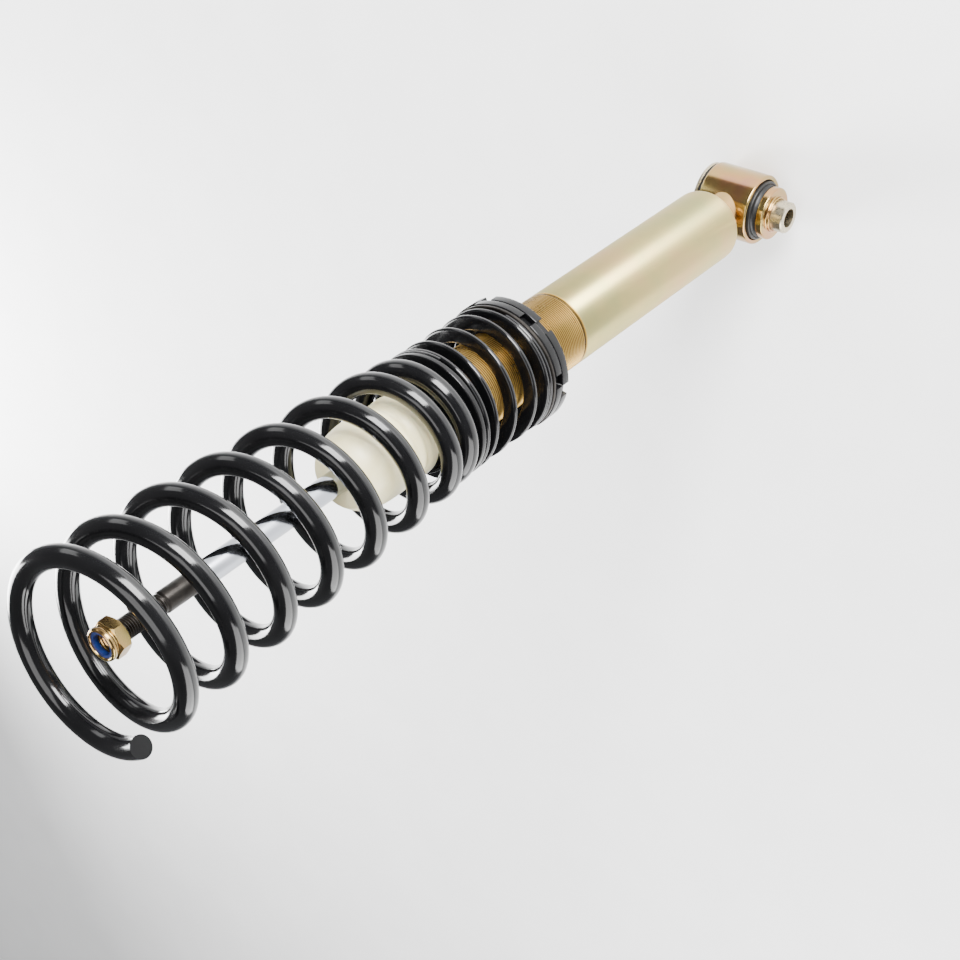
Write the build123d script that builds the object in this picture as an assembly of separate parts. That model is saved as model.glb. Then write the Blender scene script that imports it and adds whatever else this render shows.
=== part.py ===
from build123d import *
import os
from math import cos, radians, sin, sqrt, tan

# Rear coilover strut, upright, in millimetres.
# The origin is the centre of the lower eye, +Z runs up the strut to its stud and +X along the eye bolt.

# Damper body, closed at its foot; its outer thread is left to the visual model
TUBE_R = 25.0
TUBE_BORE_R = 22.5
TUBE_FOOT = 37.0
TUBE_FLOOR = 5.0
TUBE_SHOULDER = 8.0
TUBE_TOP = 352.0

# Lower eye, its rubber bush and the bolt sleeve
EYE_R = 24.0
EYE_BORE_R = 20.5
EYE_HALF = 19.0
BUSH_LIP_R = 22.3
SLEEVE_R = 10.75
SLEEVE_BORE_R = 6.5
SLEEVE_BACK = -23.5
SLEEVE_FRONT = 39.7
COLLAR_R = 18.0
COLLAR_BACK = 23.5
COLLAR_FRONT = 28.8
COLLAR_HUB = 2.2
END_WASHER_R = 22.6
END_WASHER_THICK = 2.2

# Neck between the eye and the tube, welded at both ends
NECK_R = 11.5
NECK_WELD_LEG = 3.5
SADDLE_R = 16.0
SADDLE_FOOT = 16.0
SADDLE_TOP = 29.0

# Rod, its tenon under the piston, its dark shank and the M12 stud
ROD_R = 7.0
TENON_R = 5.0
TENON_FOOT = 278.0
ROD_FOOT = 301.5
ROD_TOP = 523.8
SHANK_R = 6.25
SHANK_TOP = 553.0
STUD_R = 6.0
STUD_TOP = 588.0

# Stud nut with its nylon ring
NUT_FLATS = 19.0
NUT_FOOT = 583.8
NUT_SHOULDER = 591.0
NUT_POCKET = 591.6
NUT_TOP = 595.6
NUT_COLLAR_R = 9.2
NUT_POCKET_R = 7.9
INSERT_R = 5.8
INSERT_TOP = 594.6

# Inside the tube
PRESSURE_BORE_R = 16.0
PRESSURE_R = 17.5
VALVE_FLANGE_R = 21.0
VALVE_FLANGE_TOP = 49.0
VALVE_TOP = 58.0
VALVE_STEM_R = 3.0
VALVE_DISC_R = 11.0
VALVE_DISC_THICK = 1.2
PISTON_FOOT = 286.0
PISTON_TOP = 300.0
PISTON_R = 15.8
PISTON_GROOVE_R = 14.4
PISTON_GROOVE = 4.0
SHIM_RADII = (12.0, 10.5, 9.0)
SHIM_THICK = 0.5
PISTON_NUT_FLATS = 15.0
PISTON_NUT_FOOT = 279.0
REBOUND_COLLAR_R = 12.0
REBOUND_COLLAR_FOOT = 302.5
REBOUND_BUMPER_R = 13.0
REBOUND_BUMPER_FOOT = 306.0
REBOUND_BUMPER_TOP = 313.7
GUIDE_SPIGOT_FOOT = 314.0
GUIDE_FOOT = 320.0
GUIDE_TOP = 332.0
SEAL_R = 14.0
SEAL_TOP = 338.0
GLAND_R = 24.8
GLAND_TOP = 360.0
WIPER_R = 10.5
WIPER_FOOT = 357.0

# Spring seat: lock ring, perch ring and slip washer
RING_R = 40.75
LOCK_FOOT = 259.7
LOCK_TOP = 265.7
PERCH_FOOT = 266.0
PERCH_TOP = 271.5
PERCH_SPIGOT_R = 30.2
PERCH_SPIGOT_TOP = 279.0
NOTCHES = 6
NOTCH_WIDTH = 8.5
NOTCH_DEPTH = 3.5
LOCK_NOTCH_ANGLE = 53.0
PERCH_NOTCH_ANGLE = 5.0
SLIP_BORE_R = 30.7
SLIP_R = 40.2

# Helper spring: flat wire on edge, wound left-handed between two closed end coils
HELPER_FOOT = 273.5
HELPER_BORE_R = 30.8
HELPER_R = 39.8
HELPER_WIRE = 3.2
HELPER_OPEN_TURNS = 3
HELPER_START_ANGLE = 262.0

# Coupler between the two springs
COUPLER_BORE_R = 26.0
COUPLER_R = 39.5
COUPLER_FOOT = 338.0
COUPLER_FACE = 341.5
COUPLER_SPIGOT_FOOT = 330.0
COUPLER_SPIGOT_TOP = 356.0
COUPLER_LOWER_R = 30.3
COUPLER_UPPER_R = 27.9

# Main spring: round wire, wound right-handed, wider towards its upper end
WIRE_R = 6.2
MAIN_TURNS = 8
MAIN_END_ANGLE = 310.0
MAIN_PITCH = 38.0
MAIN_SEAT_PITCH = 12.0
MAIN_TAIL_PITCH = 14.0
MAIN_SEAT_TURNS = 2.2
MAIN_TAIL_TURNS = 1.4
MAIN_SEAT_RADIUS = 34.5
MAIN_WIDENING = 2.5
MAIN_WIDENING_LOSS = 0.05
CORNERS_PER_TURN = 10
ARC_SHARE = 0.93

# Bump stop
STOP_FOOT = 360.5
STOP_TOP = 418.0
STOP_BORE_R = 7.3

SLIP_FIT = 0.05
EDGE = 0.5


def turned(points):
    """A solid of revolution about Z from (radius, height) corners."""
    return revolve(Plane.XZ * make_face(Polyline(*points, close=True)), Axis.Z)


def ring(bore_r, outer_r, foot, top, edge=EDGE):
    """A ring about Z, with its two outer edges broken."""
    blank = turned([(bore_r, foot), (outer_r, foot), (outer_r, top), (bore_r, top)])
    circles = blank.edges().filter_by(GeomType.CIRCLE)
    rims = circles.filter_by(lambda rim: rim.radius > outer_r - EDGE / 4)
    return chamfer(rims, edge)


def disc_bores(count, circle_r, bore_r, foot, top):
    """A circle of through bores, as solids to cut away."""
    height = top - foot
    bore = Pos(circle_r, 0, foot + height / 2) * Cylinder(bore_r, 2 * height)
    return [Rot(0, 0, 360 / count * i) * bore for i in range(count)]


def along_x(solid):
    """A part turned about Z, laid along the eye bolt with its heights running towards +X."""
    return Rot(0, 90, 0) * solid


def hexagon(across_flats, foot, top, bore_r):
    """A hexagon nut about Z, with the corners of both faces turned off."""
    corner_r = across_flats / sqrt(3)
    face_r = 0.475 * across_flats
    drop = (corner_r - face_r) * tan(radians(30))
    blank = Pos(0, 0, foot) * extrude(RegularPolygon(corner_r, 6), top - foot)
    turned_off = [
        (bore_r, foot),
        (face_r, foot),
        (corner_r, foot + drop),
        (corner_r, top - drop),
        (face_r, top),
        (bore_r, top),
    ]
    return blank & turned(turned_off)


# ---- Lower eye ----


def make_eye_ring():
    return along_x(ring(EYE_BORE_R, EYE_R, -EYE_HALF, EYE_HALF, edge=1.2))


def make_bush_rubber():
    """The moulded rubber: a lip behind the ring, and a grooved face under the collar."""
    bore = SLEEVE_R + SLIP_FIT
    outer = EYE_BORE_R - SLIP_FIT
    lip = EYE_HALF + 0.1
    lip_back = EYE_HALF + 2.0
    points = [
        (bore, -lip_back),
        (BUSH_LIP_R, -lip_back),
        (BUSH_LIP_R, -lip),
        (outer, -lip),
        (outer, EYE_HALF),
        (outer - 0.25, EYE_HALF + 1.2),
        (outer - 1.25, EYE_HALF + 1.8),
        (outer - 2.45, EYE_HALF + 1.0),
        (outer - 3.65, EYE_HALF + 2.5),
        (outer - 3.95, COLLAR_BACK - 0.3),
        (bore, COLLAR_BACK - 0.3),
    ]
    return along_x(turned(points))


def make_eye_sleeve():
    return along_x(ring(SLEEVE_BORE_R, SLEEVE_R, SLEEVE_BACK, SLEEVE_FRONT, edge=0.7))


def make_spacer_collar():
    """The thick collar, with a short hub that steps down to the sleeve."""
    hub_r = SLEEVE_R + 1.5
    points = [
        (SLEEVE_R, COLLAR_BACK),
        (COLLAR_R - EDGE, COLLAR_BACK),
        (COLLAR_R, COLLAR_BACK + EDGE),
        (COLLAR_R, COLLAR_FRONT - EDGE),
        (COLLAR_R - EDGE, COLLAR_FRONT),
        (hub_r, COLLAR_FRONT),
        (hub_r, COLLAR_FRONT + COLLAR_HUB),
        (SLEEVE_R, COLLAR_FRONT + COLLAR_HUB),
    ]
    return along_x(turned(points))


def make_end_washer():
    """The washer behind the bush, staked round the sleeve's chamfered end."""
    front = SLEEVE_BACK + END_WASHER_THICK
    return along_x(ring(SLEEVE_R, END_WASHER_R, SLEEVE_BACK, front))


def make_neck():
    """The stem from the eye ring to the tube, its foot hollowed to sit on the ring."""
    height = TUBE_FOOT - SADDLE_FOOT
    stem = Pos(0, 0, SADDLE_FOOT + height / 2) * Cylinder(NECK_R, height)
    return stem - along_x(Cylinder(EYE_R, 4 * EYE_R))


def make_weld_beads():
    """The weld fillets at both ends of the neck."""
    heel = (NECK_R, TUBE_FOOT)
    low = (NECK_R, TUBE_FOOT - NECK_WELD_LEG)
    wide = (NECK_R + NECK_WELD_LEG, TUBE_FOOT)
    swell = (NECK_R + 0.6 * NECK_WELD_LEG, TUBE_FOOT - 0.6 * NECK_WELD_LEG)
    outline = ThreePointArc(low, swell, wide) + Polyline(wide, heel, low)
    upper = revolve(Plane.XZ * make_face(outline), Axis.Z)
    skirt = [(NECK_R, SADDLE_FOOT), (SADDLE_R, SADDLE_FOOT), (NECK_R, SADDLE_TOP)]
    lower = turned(skirt) - along_x(Cylinder(EYE_R, 4 * EYE_R))
    return Compound(children=[upper.solid(), *lower.solids()])


# ---- Damper body ----


def make_body_tube():
    """The tube with its closed foot; the shoulder is rounded and the rim broken."""
    floor = TUBE_FOOT + TUBE_FLOOR
    shoulder = TUBE_FOOT + TUBE_SHOULDER
    bend = TUBE_SHOULDER * (1 - sqrt(0.5))
    start = (TUBE_R - TUBE_SHOULDER, TUBE_FOOT)
    middle = (TUBE_R - bend, TUBE_FOOT + bend)
    end = (TUBE_R, shoulder)
    rest = Polyline(
        end,
        (TUBE_R, TUBE_TOP - EDGE),
        (TUBE_R - EDGE, TUBE_TOP),
        (TUBE_BORE_R, TUBE_TOP),
        (TUBE_BORE_R, floor),
        (0, floor),
        (0, TUBE_FOOT),
        start,
    )
    return revolve(Plane.XZ * make_face(ThreePointArc(start, middle, end) + rest), Axis.Z)


def make_base_valve():
    """The foot valve: a flanged plug under the pressure tube, with oil ways up and out."""
    floor = TUBE_FOOT + TUBE_FLOOR
    plug_r = PRESSURE_BORE_R - SLIP_FIT
    points = [
        (0, floor),
        (VALVE_FLANGE_R, floor),
        (VALVE_FLANGE_R, VALVE_FLANGE_TOP),
        (plug_r, VALVE_FLANGE_TOP),
        (plug_r, VALVE_TOP),
        (VALVE_STEM_R, VALVE_TOP),
        (VALVE_STEM_R, VALVE_TOP + 3.0),
        (0, VALVE_TOP + 3.0),
    ]
    cross_way = Pos(0, 0, floor + 1.5) * Box(2.2 * VALVE_FLANGE_R, 5.0, 3.0)
    upright_ways = disc_bores(6, 8.0, 1.8, floor, VALVE_TOP)
    return turned(points) - cross_way - Rot(0, 0, 90) * cross_way - upright_ways


def make_base_valve_disc():
    """The spring disc that covers the foot valve's ways."""
    return ring(VALVE_STEM_R, VALVE_DISC_R, VALVE_TOP, VALVE_TOP + VALVE_DISC_THICK, edge=0.3)


def make_pressure_tube():
    return ring(PRESSURE_BORE_R, PRESSURE_R, VALVE_FLANGE_TOP, GUIDE_FOOT, edge=0.3)


def make_rod_guide():
    """The bearing that closes the pressure tube and fills the body's bore."""
    spigot_r = PRESSURE_BORE_R - SLIP_FIT
    outer = TUBE_BORE_R - SLIP_FIT
    points = [
        (ROD_R + SLIP_FIT, GUIDE_SPIGOT_FOOT),
        (spigot_r, GUIDE_SPIGOT_FOOT),
        (spigot_r, GUIDE_FOOT),
        (outer, GUIDE_FOOT),
        (outer, GUIDE_TOP),
        (ROD_R + SLIP_FIT, GUIDE_TOP),
    ]
    return turned(points)


def make_oil_seal():
    """The oil seal, with an upper and a lower lip on the rod."""
    lip = ROD_R + SLIP_FIT
    points = [
        (lip, GUIDE_TOP),
        (SEAL_R, GUIDE_TOP),
        (SEAL_R, SEAL_TOP),
        (lip, SEAL_TOP),
        (lip, SEAL_TOP - 1.4),
        (lip + 1.6, SEAL_TOP - 2.6),
        (lip + 1.6, GUIDE_TOP + 2.6),
        (lip, GUIDE_TOP + 1.4),
    ]
    return turned(points)


def make_gland_cap():
    """The threaded cap over the tube's rim, holding the seal down and the wiper in."""
    screwed_r = TUBE_BORE_R - SLIP_FIT
    way_r = ROD_R + 0.5
    points = [
        (SEAL_R, GUIDE_TOP),
        (screwed_r, GUIDE_TOP),
        (screwed_r, TUBE_TOP),
        (GLAND_R, TUBE_TOP),
        (GLAND_R, GLAND_TOP - 1.0),
        (GLAND_R - 1.0, GLAND_TOP),
        (WIPER_R, GLAND_TOP),
        (WIPER_R, WIPER_FOOT),
        (way_r, WIPER_FOOT),
        (way_r, SEAL_TOP),
        (SEAL_R, SEAL_TOP),
    ]
    return turned(points)


def make_wiper_seal():
    """The wiper, its thin lip pointing up the rod."""
    lip = ROD_R + SLIP_FIT
    points = [
        (lip + 0.9, WIPER_FOOT),
        (WIPER_R, WIPER_FOOT),
        (WIPER_R, GLAND_TOP - 0.6),
        (lip + 0.8, GLAND_TOP - 0.6),
        (lip, GLAND_TOP),
        (lip, GLAND_TOP - 1.6),
    ]
    return turned(points)


# ---- Rod ----


def make_piston_rod():
    points = [
        (0, TENON_FOOT),
        (TENON_R - EDGE, TENON_FOOT),
        (TENON_R, TENON_FOOT + EDGE),
        (TENON_R, ROD_FOOT),
        (ROD_R, ROD_FOOT),
        (ROD_R, ROD_TOP - 0.8),
        (SHANK_R, ROD_TOP),
        (SHANK_R, SHANK_TOP),
        (STUD_R, SHANK_TOP + 0.3),
        (STUD_R, STUD_TOP - 1.0),
        (STUD_R - 1.0, STUD_TOP),
        (0, STUD_TOP),
    ]
    return turned(points)


def make_piston():
    """The piston, with a groove for its ring and four oil ways."""
    points = [
        (TENON_R, PISTON_FOOT),
        (PISTON_R, PISTON_FOOT),
        (PISTON_R, PISTON_FOOT + PISTON_GROOVE),
        (PISTON_GROOVE_R, PISTON_FOOT + PISTON_GROOVE),
        (PISTON_GROOVE_R, PISTON_TOP - PISTON_GROOVE),
        (PISTON_R, PISTON_TOP - PISTON_GROOVE),
        (PISTON_R, PISTON_TOP),
        (TENON_R, PISTON_TOP),
    ]
    return turned(points) - disc_bores(4, 10.0, 1.6, PISTON_FOOT, PISTON_TOP)


def make_piston_ring():
    foot = PISTON_FOOT + PISTON_GROOVE
    return ring(PISTON_GROOVE_R, PRESSURE_BORE_R - SLIP_FIT, foot, PISTON_TOP - PISTON_GROOVE, edge=0.3)


def make_piston_shims():
    """The valve shims on top of the piston, widest at the bottom."""
    shims = []
    for i, radius in enumerate(SHIM_RADII):
        foot = PISTON_TOP + SHIM_THICK * i
        top = foot + SHIM_THICK
        shims.append(turned([(TENON_R, foot), (radius, foot), (radius, top), (TENON_R, top)]))
    return Compound(children=[shim.solid() for shim in shims])


def make_piston_nut():
    return hexagon(PISTON_NUT_FLATS, PISTON_NUT_FOOT, PISTON_FOOT, TENON_R)


def make_rebound_collar():
    return ring(ROD_R, REBOUND_COLLAR_R, REBOUND_COLLAR_FOOT, REBOUND_BUMPER_FOOT)


def make_rebound_bumper():
    return ring(ROD_R, REBOUND_BUMPER_R, REBOUND_BUMPER_FOOT, REBOUND_BUMPER_TOP, edge=2.0)


def make_top_nut():
    """The self-locking nut: a hexagon under a thin collar that holds the nylon ring."""
    collar = [
        (STUD_R, NUT_SHOULDER),
        (NUT_COLLAR_R, NUT_SHOULDER),
        (NUT_COLLAR_R, NUT_TOP - 1.0),
        (NUT_COLLAR_R - 0.7, NUT_TOP),
        (NUT_POCKET_R, NUT_TOP),
        (NUT_POCKET_R, NUT_POCKET),
        (STUD_R, NUT_POCKET),
    ]
    return hexagon(NUT_FLATS, NUT_FOOT, NUT_SHOULDER, STUD_R) + turned(collar)


def make_nylon_insert():
    return ring(INSERT_R, NUT_POCKET_R, NUT_POCKET, INSERT_TOP, edge=0.3)


# ---- Spring seat and coupler ----


def notched(body, foot, top, angle):
    """Cuts the spanner notches round a ring."""
    cutter = Pos(RING_R, 0, (foot + top) / 2) * Box(2 * NOTCH_DEPTH, NOTCH_WIDTH, 2 * (top - foot))
    return body - [Rot(0, 0, angle + 360 / NOTCHES * i) * cutter for i in range(NOTCHES)]


def make_lock_ring():
    blank = ring(TUBE_R + SLIP_FIT, RING_R, LOCK_FOOT, LOCK_TOP, edge=0.8)
    return notched(blank, LOCK_FOOT, LOCK_TOP, LOCK_NOTCH_ANGLE)


def make_perch_ring():
    """The adjuster ring, with the spigot that centres the washer and the helper spring."""
    blank = ring(TUBE_R + SLIP_FIT, RING_R, PERCH_FOOT, PERCH_TOP, edge=0.8)
    spigot = ring(TUBE_R + SLIP_FIT, PERCH_SPIGOT_R, PERCH_TOP, PERCH_SPIGOT_TOP, edge=0.6)
    return notched(blank + spigot, PERCH_FOOT, PERCH_TOP, PERCH_NOTCH_ANGLE)


def make_slip_washer():
    return ring(SLIP_BORE_R, SLIP_R, PERCH_TOP, HELPER_FOOT, edge=0.4)


def make_spring_coupler():
    """The flanged ring between the springs, with a spigot into each."""
    points = [
        (COUPLER_BORE_R, COUPLER_SPIGOT_FOOT),
        (COUPLER_LOWER_R - 1.0, COUPLER_SPIGOT_FOOT),
        (COUPLER_LOWER_R, COUPLER_SPIGOT_FOOT + 1.0),
        (COUPLER_LOWER_R, COUPLER_FOOT),
        (COUPLER_R - EDGE, COUPLER_FOOT),
        (COUPLER_R, COUPLER_FOOT + EDGE),
        (COUPLER_R, COUPLER_FACE - EDGE),
        (COUPLER_R - EDGE, COUPLER_FACE),
        (COUPLER_UPPER_R, COUPLER_FACE),
        (COUPLER_UPPER_R, COUPLER_SPIGOT_TOP - 1.0),
        (COUPLER_UPPER_R - 1.0, COUPLER_SPIGOT_TOP),
        (COUPLER_BORE_R, COUPLER_SPIGOT_TOP),
    ]
    return turned(points)


# ---- Springs ----


def make_helper_spring():
    """Two closed end coils joined by the open coils of the same flat wire."""
    inset = 0.1
    low = HELPER_FOOT + HELPER_WIRE / 2
    rise = COUPLER_FOOT - HELPER_FOOT - HELPER_WIRE
    mean_r = (HELPER_BORE_R + HELPER_R) / 2
    width = HELPER_R - HELPER_BORE_R - 2 * inset
    path = Helix(rise / HELPER_OPEN_TURNS, rise, mean_r, lefthand=True)
    start = Plane(origin=path @ 0, x_dir=(1, 0, 0), z_dir=path % 0)
    section = start * Rectangle(width, HELPER_WIRE - 2 * inset)
    coils = Pos(0, 0, low) * Rot(0, 0, HELPER_START_ANGLE) * sweep(section, path, is_frenet=True)
    lower = ring(HELPER_BORE_R, HELPER_R, HELPER_FOOT, HELPER_FOOT + HELPER_WIRE, edge=0.4)
    upper = ring(HELPER_BORE_R, HELPER_R, COUPLER_FOOT - HELPER_WIRE, COUPLER_FOOT, edge=0.4)
    return lower + coils + upper


def main_radius(turn):
    """Mean coil radius: the spring widens quickly at first, then less."""
    return MAIN_SEAT_RADIUS + MAIN_WIDENING * turn - MAIN_WIDENING_LOSS * turn**2


def main_height(turn):
    """Height of the wire's middle: the pitch opens from the seat and closes again at the tail."""
    seat = min(turn / MAIN_SEAT_TURNS, 1)
    tail = max((turn - MAIN_TURNS + MAIN_TAIL_TURNS) / MAIN_TAIL_TURNS, 0)
    seat_loss = (MAIN_PITCH - MAIN_SEAT_PITCH) * MAIN_SEAT_TURNS * (seat - seat**3 + seat**4 / 2)
    tail_loss = (MAIN_PITCH - MAIN_TAIL_PITCH) * MAIN_TAIL_TURNS * (tail**3 - tail**4 / 2)
    return COUPLER_FACE + WIRE_R + MAIN_PITCH * turn - seat_loss - tail_loss


def main_point(turn, radius):
    angle = radians(MAIN_END_ANGLE + 360 * (turn - MAIN_TURNS))
    return (radius * cos(angle), radius * sin(angle), main_height(turn))


def make_main_spring():
    """Arcs in a polygon round the coil, keeping the wire's middle on the coil's mean radius."""
    half_corner = radians(180 / CORNERS_PER_TURN)
    points = [main_point(0, main_radius(0))]
    radii = []
    for i in range(MAIN_TURNS * CORNERS_PER_TURN):
        turn = (i + 0.5) / CORNERS_PER_TURN
        points.append(main_point(turn, main_radius(turn) / cos(half_corner)))
        radii.append(ARC_SHARE * main_radius(turn))
    points.append(main_point(MAIN_TURNS, main_radius(MAIN_TURNS)))
    path = FilletPolyline(*points, radius=radii)
    wire = sweep(Plane(origin=path @ 0, z_dir=path % 0) * Circle(WIRE_R), path)
    volume_ratio = wire.volume / (Circle(WIRE_R).area * path.length)
    print("main spring corner radii", round(min(radii), 1), "to", round(max(radii), 1))
    print("main spring volume against section times length", round(volume_ratio, 4))
    return wire


# ---- Bump stop ----


def make_bump_stop():
    """A foam block with a grooved bead under a waist and a barrel above it."""
    side = Spline(
        (22.6, STOP_FOOT),
        (24.7, STOP_FOOT + 2.5),
        (24.9, STOP_FOOT + 7.0),
        (24.1, STOP_FOOT + 10.5),
        (24.6, STOP_FOOT + 13.5),
        (22.9, STOP_FOOT + 17.5),
        (24.6, STOP_FOOT + 22.0),
        (25.4, STOP_FOOT + 29.0),
        (24.9, STOP_FOOT + 41.0),
        (22.4, STOP_FOOT + 51.5),
        (18.2, STOP_TOP),
    )
    bore_top = (STOP_BORE_R, STOP_TOP)
    bore_foot = (STOP_BORE_R, STOP_FOOT)
    rest = Polyline((18.2, STOP_TOP), bore_top, bore_foot, (22.6, STOP_FOOT))
    return revolve(Plane.XZ * make_face(side + rest), Axis.Z)


PIECES = {
    "eye_ring": make_eye_ring,
    "bush_rubber": make_bush_rubber,
    "eye_sleeve": make_eye_sleeve,
    "spacer_collar": make_spacer_collar,
    "end_washer": make_end_washer,
    "neck": make_neck,
    "weld_beads": make_weld_beads,
    "body_tube": make_body_tube,
    "base_valve": make_base_valve,
    "base_valve_disc": make_base_valve_disc,
    "pressure_tube": make_pressure_tube,
    "rod_guide": make_rod_guide,
    "oil_seal": make_oil_seal,
    "gland_cap": make_gland_cap,
    "wiper_seal": make_wiper_seal,
    "piston_rod": make_piston_rod,
    "piston": make_piston,
    "piston_ring": make_piston_ring,
    "piston_shims": make_piston_shims,
    "piston_nut": make_piston_nut,
    "rebound_collar": make_rebound_collar,
    "rebound_bumper": make_rebound_bumper,
    "top_nut": make_top_nut,
    "nylon_insert": make_nylon_insert,
    "lock_ring": make_lock_ring,
    "perch_ring": make_perch_ring,
    "slip_washer": make_slip_washer,
    "helper_spring": make_helper_spring,
    "spring_coupler": make_spring_coupler,
    "main_spring": make_main_spring,
    "bump_stop": make_bump_stop,
}

os.makedirs("parts", exist_ok=True)
for name, make in PIECES.items():
    export_step(make(), f"parts/{name}.step")
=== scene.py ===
from math import atan2, cos, hypot, pi, radians, sin

import bmesh
import bpy
from mathutils import Matrix, Vector


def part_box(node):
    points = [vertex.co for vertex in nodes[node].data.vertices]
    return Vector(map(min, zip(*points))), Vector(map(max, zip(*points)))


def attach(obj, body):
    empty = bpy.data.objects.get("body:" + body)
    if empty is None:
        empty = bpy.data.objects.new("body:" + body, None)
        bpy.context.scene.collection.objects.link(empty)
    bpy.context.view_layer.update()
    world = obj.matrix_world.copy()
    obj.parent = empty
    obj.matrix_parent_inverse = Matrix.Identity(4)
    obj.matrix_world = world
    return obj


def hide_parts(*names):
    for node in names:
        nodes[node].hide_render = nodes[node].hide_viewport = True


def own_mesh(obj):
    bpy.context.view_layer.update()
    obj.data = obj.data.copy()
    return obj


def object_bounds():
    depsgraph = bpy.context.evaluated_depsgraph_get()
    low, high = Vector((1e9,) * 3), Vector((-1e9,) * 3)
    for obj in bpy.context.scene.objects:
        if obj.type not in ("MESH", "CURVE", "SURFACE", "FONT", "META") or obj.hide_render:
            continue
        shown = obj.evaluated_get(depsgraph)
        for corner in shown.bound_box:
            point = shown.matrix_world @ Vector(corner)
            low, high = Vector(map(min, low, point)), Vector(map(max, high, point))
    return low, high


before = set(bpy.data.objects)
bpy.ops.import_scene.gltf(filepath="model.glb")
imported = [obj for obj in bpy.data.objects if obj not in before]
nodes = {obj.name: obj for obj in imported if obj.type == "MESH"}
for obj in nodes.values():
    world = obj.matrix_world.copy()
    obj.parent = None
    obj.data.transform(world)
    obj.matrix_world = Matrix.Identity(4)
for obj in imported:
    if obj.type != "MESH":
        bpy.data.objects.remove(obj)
cad_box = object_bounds()

MM = 0.001

# ---- Sizes, in millimetres ----

# Damper body
TUBE_R = 25.0
TUBE_BORE_R = 22.5
TUBE_SHOULDER = 8.0
TUBE_FLOOR = 5.0
THREAD_FOOT = 218.7
THREAD_PITCH = 1.5
THREAD_DEPTH = 0.75
THREAD_RUNOUT = 1.2
RIM_CHAMFER = 0.6
# Keeps a thread's core just under the thread's root, so that the two surfaces never coincide
ROOT_GAP = 0.02

# Rod and stud
TENON_R = 5.0
ROD_FOOT = 301.5
ROD_R = 7.0
ROD_SHOULDER = 523.8
SHANK_R = 6.25
SHANK_TOP = 553.0
STUD_R = 6.0
STUD_PITCH = 1.5
STUD_DEPTH = 0.8
STUD_CHAMFER = 0.8

# Locking nut
NUT_FLATS = 19.0
NUT_HEXAGON = 7.2
NUT_CONE = 1.0
POCKET_R = 7.9

# Eye, bush and collar
EYE_R = 24.0
EYE_BORE_R = 20.5
EYE_EDGE = 1.6
BUSH_R = 20.4
BUSH_BORE_R = 10.8
BUSH_LIP_R = 22.3
SLEEVE_R = 10.75
COLLAR_R = 18.0
COLLAR_DISC = 5.3
COLLAR_HUB_R = 12.25
COLLAR_EDGE = 1.1

# Springs
MAIN_TURNS = 8.0
MAIN_WIRE_R = 6.2
# The share of its height that each spring keeps at the end of the rod's stroke of 110 mm,
# of which the helper takes a quarter
HELPER_TURNS = 6.0
HELPER_CLOSING_TURNS = 2.96
HELPER_PITCH = 20.2
HELPER_WIRE = 3.2
HELPER_WIDTH = 9.0
HELPER_EDGE = 1.45

# Spring seat and coupler
RING_BORE_R = 25.05
RING_R = 40.75
RING_EDGE = 0.7
NOTCH_COUNT = 6
NOTCH_WIDTH = 8.5
NOTCH_DEPTH = 3.5
LOCK_NOTCH_ANGLE = 53.0
PERCH_NOTCH_ANGLE = 5.0
PERCH_RIM = 5.5
PERCH_SPIGOT_R = 30.2
COUPLER_BORE_R = 26.0
COUPLER_LOWER_R = 30.3
COUPLER_LOWER = 8.0
COUPLER_R = 39.5
COUPLER_FLANGE = 3.5
COUPLER_UPPER_R = 27.9

STOP_BORE_R = 7.3

# A quarter turn of the anisotropy lays its long axis across the turning marks.
AROUND = 0.25

# ---- Studio, in metres ----

FLOOR_HALF = 6.0
LIT_HEIGHT = 0.3


# ---- Node helper and colours ----


def add(tree, kind, inputs=None, **settings):
    """Adds a node with its settings; an input is a value or a socket to link from."""
    node = tree.nodes.new(kind)
    for name, value in settings.items():
        setattr(node, name, value)
    for key, value in (inputs or {}).items():
        if isinstance(value, bpy.types.NodeSocket):
            tree.links.new(value, node.inputs[key])
        else:
            node.inputs[key].default_value = value
    return node


def linear(hex_colour):
    """An sRGB hex colour as linear red, green, blue and alpha."""
    channels = [int(hex_colour[i : i + 2], 16) / 255 for i in (1, 3, 5)]
    return [c / 12.92 if c <= 0.04045 else ((c + 0.055) / 1.055) ** 2.4 for c in channels] + [1.0]


def new_material(name):
    """A material with its tree, its Principled BSDF and its Object coordinates."""
    material = bpy.data.materials.new(name)
    material.use_nodes = True
    tree = material.node_tree
    shader = tree.nodes["Principled BSDF"]
    place = add(tree, "ShaderNodeTexCoord").outputs["Object"]
    return material, tree, shader, place


def ramp(tree, factor, stops):
    """A colour ramp over hex colours."""
    node = add(tree, "ShaderNodeValToRGB", {"Fac": factor})
    elements = node.color_ramp.elements
    while len(elements) < len(stops):
        elements.new(0.5)
    for element, (position, colour) in zip(elements, stops):
        element.position = position
        element.color = linear(colour)
    return node.outputs["Color"]


def maths(tree, operation, *values):
    """The result of one operation on values and sockets."""
    return add(tree, "ShaderNodeMath", dict(enumerate(values)), operation=operation).outputs[0]


def at_angle(tree, radius, height, angle):
    """The place at a radius and a height, turned about the axis."""
    spoke = add(tree, "ShaderNodeCombineXYZ", {"X": radius, "Z": height}).outputs[0]
    inputs = {"Vector": spoke, "Angle": angle}
    return add(tree, "ShaderNodeVectorRotate", inputs, rotation_type="Z_AXIS").outputs[0]


def per_metre(size_mm):
    """The scale that gives a pattern a feature of this size."""
    return 1000.0 / size_mm


def noise(tree, place, size_mm, detail=2.0):
    """Noise whose features are about this size."""
    inputs = {"Vector": place, "Scale": per_metre(size_mm), "Detail": detail}
    return add(tree, "ShaderNodeTexNoise", inputs).outputs["Fac"]


def drive(tree, shader, name, value):
    """Links a field to one of the shader's inputs."""
    tree.links.new(value, shader.inputs[name])


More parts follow.
